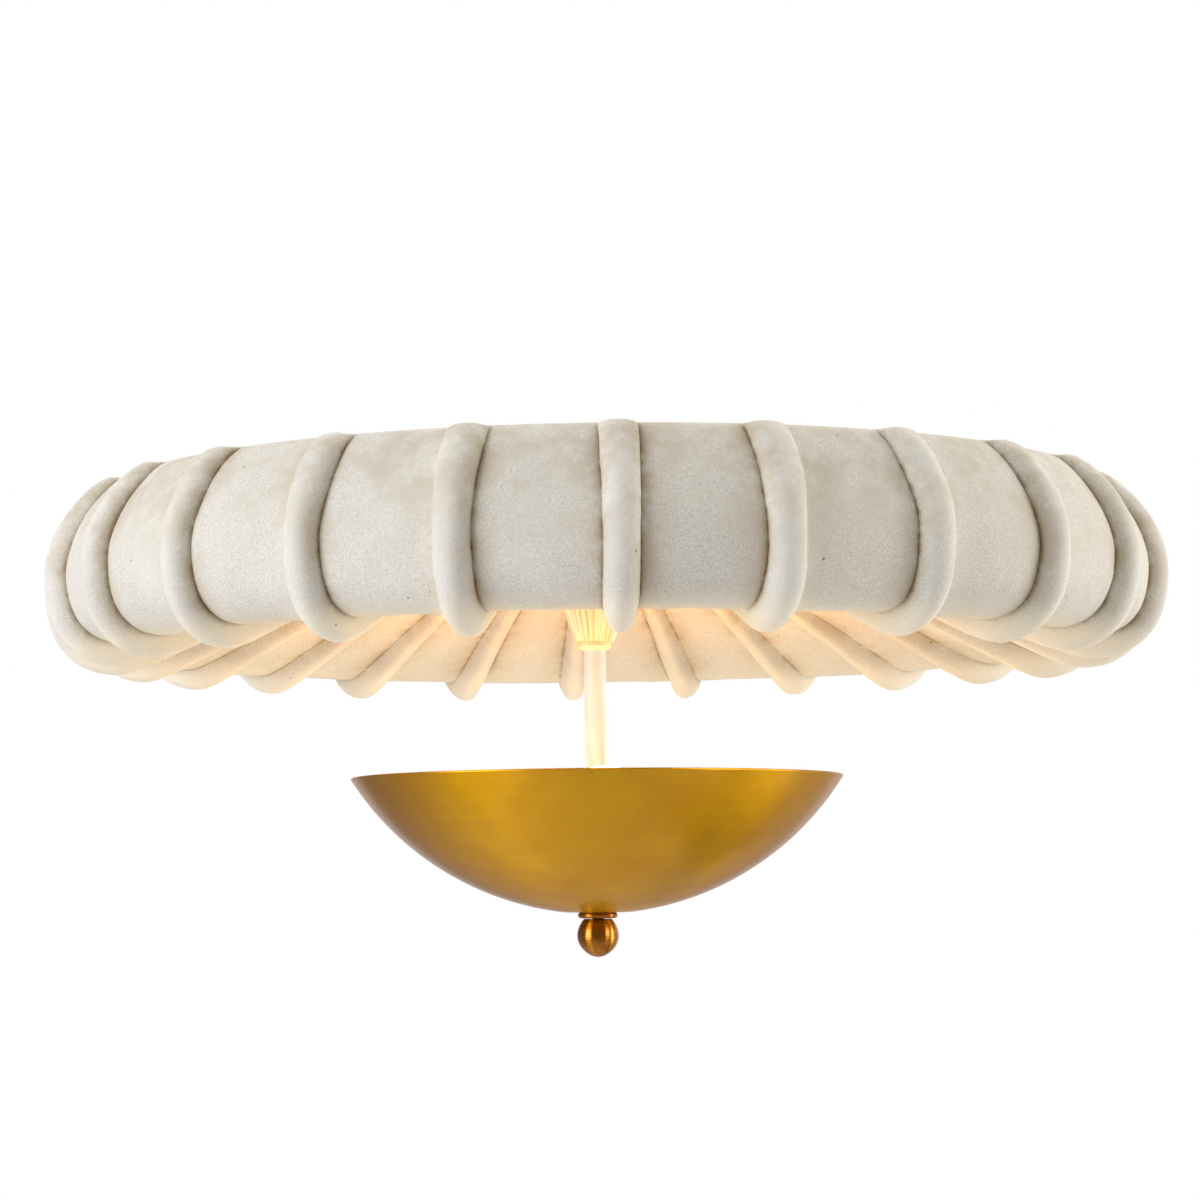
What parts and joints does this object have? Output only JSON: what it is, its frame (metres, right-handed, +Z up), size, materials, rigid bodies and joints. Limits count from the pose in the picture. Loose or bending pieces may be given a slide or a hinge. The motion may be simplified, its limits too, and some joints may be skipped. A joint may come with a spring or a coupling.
{
  "type": "flush mount ceiling light",
  "caption": "Round flush mount ceiling light: a ribbed stone shade against the ceiling, and a brass bowl hung below it on a stem that throws its light up onto the shade.",
  "frame": {"origin": "centre of the mounting strap's top face, in the plane of the ceiling", "axes": "+Z up into the ceiling along the stem's axis; the light hangs towards -Z; -Y is the front"},
  "size_m": [0.6092, 0.6092, 0.2561],
  "materials": {
    "stone": "matte sanded cast stone",
    "bowl_brass": "fine brushed antique",
    "finial_brass": "polished antique",
    "stem_brass": "satin",
    "thread_brass": "plain",
    "steel_zinc": "zinc plated",
    "pan_paint": "matte paint",
    "pad_rubber": "matte",
    "green_paint": "painted head",
    "holder_ceramic": "glazed",
    "cap_metal": "nickel plated",
    "bulb_glass": "opal"
  },
  "bodies": {
    "fixture": {"mounting_strap": "steel_zinc", "ground_screw": "green_paint", "strap_nut": "steel_zinc", "main_nipple": "thread_brass", "ceiling_pan": "pan_paint", "upper_pad": "pad_rubber", "shade": "stone", "lower_pad": "pad_rubber", "backing_washer": "steel_zinc", "shade_nut": "steel_zinc", "fluted_hub": "stem_brass", "stem_collar": "stem_brass", "stem_tube": "stem_brass", "cluster_body": "stem_brass", "cluster_cover": "stem_brass", "stud_nut": "steel_zinc", "lampholder_1": "holder_ceramic", "lampholder_2": "holder_ceramic", "lampholder_3": "holder_ceramic", "screw_shell_1": "thread_brass", "screw_shell_2": "thread_brass", "screw_shell_3": "thread_brass", "centre_contact_1": "thread_brass", "centre_contact_2": "thread_brass", "centre_contact_3": "thread_brass", "finial_stud": "thread_brass", "bowl_spacer": "stem_brass"},
    "bowl": {"bowl": "bowl_brass", "check_ring": "finial_brass", "rubber_washer": "pad_rubber", "steel_washer": "steel_zinc"},
    "finial": {"finial_ball": "finial_brass"},
    "bulb_1": {"bulb_cap_1": "cap_metal", "bulb_globe_1": "bulb_glass"},
    "bulb_2": {"bulb_cap_2": "cap_metal", "bulb_globe_2": "bulb_glass"},
    "bulb_3": {"bulb_cap_3": "cap_metal", "bulb_globe_3": "bulb_glass"}
  },
  "joints": [
    {"name": "bowl_drop", "type": "slide", "parent": "fixture", "child": "bowl", "axis": [0, 0, -1], "range_m": [0, 0.0094]},
    {"name": "finial_turn", "type": "hinge", "parent": "bowl", "child": "finial", "pos_m": [0, 0, -0.2452], "axis": [0, 0, -1], "range_deg": [0, 3600]},
    {"name": "bulb_1_unscrew", "type": "slide", "parent": "fixture", "child": "bulb_1", "axis": [0.0682, -0.9758, 0.2079], "range_m": [0, 0.009]},
    {"name": "bulb_2_unscrew", "type": "slide", "parent": "fixture", "child": "bulb_2", "axis": [0.8109, 0.547, 0.2079], "range_m": [0, 0.009]},
    {"name": "bulb_3_unscrew", "type": "slide", "parent": "fixture", "child": "bulb_3", "axis": [-0.8792, 0.4288, 0.2079], "range_m": [0, 0.009]}
  ],
  "couplings": [
    {"joint": "finial_turn", "follows": "bowl_drop", "rad_per_m": 6684.2}
  ]
}
